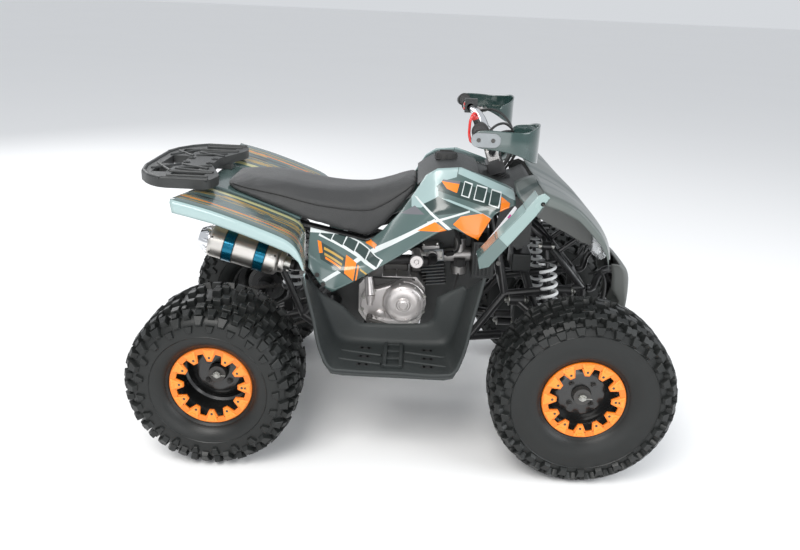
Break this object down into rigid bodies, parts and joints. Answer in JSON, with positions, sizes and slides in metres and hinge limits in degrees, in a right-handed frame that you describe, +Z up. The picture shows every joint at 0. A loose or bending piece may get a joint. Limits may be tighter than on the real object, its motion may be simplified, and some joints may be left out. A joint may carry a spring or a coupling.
{
  "type": "quad bike",
  "caption": "Small sports quad bike with knobbly tyres, orange bead rings, step-through footwells, rear rack and handguards.",
  "frame": {"origin": "on the floor, under the middle of the bounding box", "axes": "+X forward, +Y left, +Z up"},
  "size_m": [1.4566, 0.922, 0.922],
  "materials": {
    "frame_black": "satin black paint",
    "spring_white": "gloss white paint",
    "engine_alloy": "cast and painted silver grey",
    "carb_alloy": "cast",
    "pipe_steel": "heat darkened steel",
    "muffler_steel": "brushed",
    "seat_vinyl": "grained vinyl",
    "body_plastic": "gloss painted plastic",
    "black_plastic": "moulded, fine grain",
    "tank_black": "textured",
    "lamp_clear": "clear lens",
    "lamp_red": "red lens",
    "chain_steel": "oiled",
    "axle_steel": "dark paint",
    "disc_steel": "ground",
    "tyre_rubber": "rubber",
    "rim_black": "gloss black",
    "ring_orange": "orange powder coat",
    "bar_chrome": "bright",
    "grip_rubber": "ribbed",
    "guard_green": "dark green gloss",
    "lever_alloy": "polished"
  },
  "bodies": {
    "chassis": {"frame": "frame_black", "swingarm": "frame_black", "hitch_plate": "frame_black", "rear_shock": "spring_white", "front_shocks": "spring_white", "upper_arms": "frame_black", "lower_arms": "frame_black", "engine": "engine_alloy", "cylinder": "engine_alloy", "carburettor": "carb_alloy", "exhaust_pipe": "pipe_steel", "muffler": "muffler_steel", "seat": "seat_vinyl", "front_cowl": "body_plastic", "side_panels": "body_plastic", "tank_cover": "tank_black", "rear_fender": "body_plastic", "footwells": "black_plastic", "rear_rack": "black_plastic", "front_bumper": "frame_black", "headlamps": "lamp_clear", "tail_lamp": "lamp_red", "chain": "chain_steel", "rear_caliper": "carb_alloy"},
    "steering": {"steering_stem": "frame_black", "handlebar": "bar_chrome", "grips": "grip_rubber", "handguards": "guard_green", "levers": "lever_alloy", "switch_box": "black_plastic"},
    "knuckle_left": {"knuckle_left": "axle_steel"},
    "knuckle_right": {"knuckle_right": "axle_steel"},
    "tie_rod_left": {"tie_rod_left": "lever_alloy"},
    "tie_rod_right": {"tie_rod_right": "lever_alloy"},
    "front_wheel_left": {"front_hub_left": "axle_steel", "front_tyre_left": "tyre_rubber", "front_rim_left": "rim_black", "front_ring_left": "ring_orange"},
    "front_wheel_right": {"front_hub_right": "axle_steel", "front_tyre_right": "tyre_rubber", "front_rim_right": "rim_black", "front_ring_right": "ring_orange"},
    "rear_axle": {"rear_axle": "axle_steel", "rear_sprocket": "axle_steel", "rear_brake_disc": "disc_steel", "rear_tyres": "tyre_rubber", "rear_rims": "rim_black", "rear_rings": "ring_orange"}
  },
  "joints": [
    {"name": "steering", "type": "hinge", "parent": "chassis", "child": "steering", "pos_m": [0.25175, 0, 0.758], "axis": [-0.342, 0, 0.9397], "range_deg": [-32, 32]},
    {"name": "knuckle_left", "type": "hinge", "parent": "chassis", "child": "knuckle_left", "pos_m": [0.48675, 0.266, 0.2415], "axis": [0, 0, 1], "range_deg": [-32, 32]},
    {"name": "tie_rod_left", "type": "hinge", "parent": "steering", "child": "tie_rod_left", "pos_m": [0.47013, 0.014, 0.31881], "axis": [-0.342, 0, 0.9397], "range_deg": [-32, 32]},
    {"name": "front_wheel_left", "type": "hinge", "parent": "knuckle_left", "child": "front_wheel_left", "pos_m": [0.48675, 0.363, 0.2415], "axis": [0, 1, 0], "continuous": true},
    {"name": "knuckle_right", "type": "hinge", "parent": "chassis", "child": "knuckle_right", "pos_m": [0.48675, -0.266, 0.2415], "axis": [0, 0, 1], "range_deg": [-32, 32]},
    {"name": "tie_rod_right", "type": "hinge", "parent": "steering", "child": "tie_rod_right", "pos_m": [0.47013, -0.014, 0.31881], "axis": [-0.342, 0, 0.9397], "range_deg": [-32, 32]},
    {"name": "front_wheel_right", "type": "hinge", "parent": "knuckle_right", "child": "front_wheel_right", "pos_m": [0.48675, -0.363, 0.2415], "axis": [0, 1, 0], "continuous": true},
    {"name": "rear_axle", "type": "hinge", "parent": "chassis", "child": "rear_axle", "pos_m": [-0.47725, 0, 0.2285], "axis": [0, 1, 0], "continuous": true}
  ],
  "couplings": [
    {"joint": "knuckle_left", "follows": "steering", "ratio": 1},
    {"joint": "tie_rod_left", "follows": "steering", "ratio": -1},
    {"joint": "knuckle_right", "follows": "steering", "ratio": 1},
    {"joint": "tie_rod_right", "follows": "steering", "ratio": -1}
  ]
}
